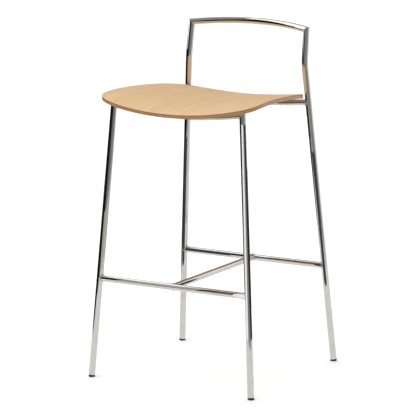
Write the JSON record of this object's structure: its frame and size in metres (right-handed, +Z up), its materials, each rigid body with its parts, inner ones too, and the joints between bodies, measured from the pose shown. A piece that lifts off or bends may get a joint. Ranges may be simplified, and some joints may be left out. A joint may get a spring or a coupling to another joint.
{
  "type": "bar stool with footrest",
  "caption": "Bar stool with a splayed chromed round-tube frame, H stretcher with footrest bar, low bowed back rail and a saddle-shaped moulded oak plywood seat.",
  "frame": {"origin": "on the floor under the middle of the stool's bounding box", "axes": "+Z up, the stool's front faces -Y, +X runs to the right of somebody facing the front; the stool is symmetric about X = 0"},
  "size_m": [0.524, 0.514, 0.969],
  "materials": {
    "oak_veneer": "light oak face veneer under a satin clear lacquer",
    "ply_core": "cut edge of layered ply, oiled brown",
    "backing_veneer": "plain backing veneer, lacquered",
    "tube_chrome": "bright chrome-plated steel tube",
    "glide_plastic": "moulded black polyethylene, lightly worn",
    "pad_plastic": "moulded black nylon spacer",
    "screw_steel": "zinc-plated machine screw",
    "insert_brass": "plain turned brass insert"
  },
  "bodies": {
    "root": {"seat_core": "ply_core", "seat_top_veneer": "oak_veneer", "seat_bottom_veneer": "backing_veneer", "seat_inserts": "insert_brass", "seat_screws": "screw_steel", "front_seat_pads": "pad_plastic", "rear_seat_pads": "pad_plastic", "front_leg_left": "tube_chrome", "front_leg_right": "tube_chrome", "rear_leg_left": "tube_chrome", "rear_leg_right": "tube_chrome", "back_rail": "tube_chrome", "front_seat_rail": "tube_chrome", "rear_seat_rail": "tube_chrome", "footrest_bar": "tube_chrome", "rear_stretcher": "tube_chrome", "centre_stretcher": "tube_chrome", "glide_front_left": "glide_plastic", "glide_front_right": "glide_plastic", "glide_rear_left": "glide_plastic", "glide_rear_right": "glide_plastic"}
  },
  "joints": []
}
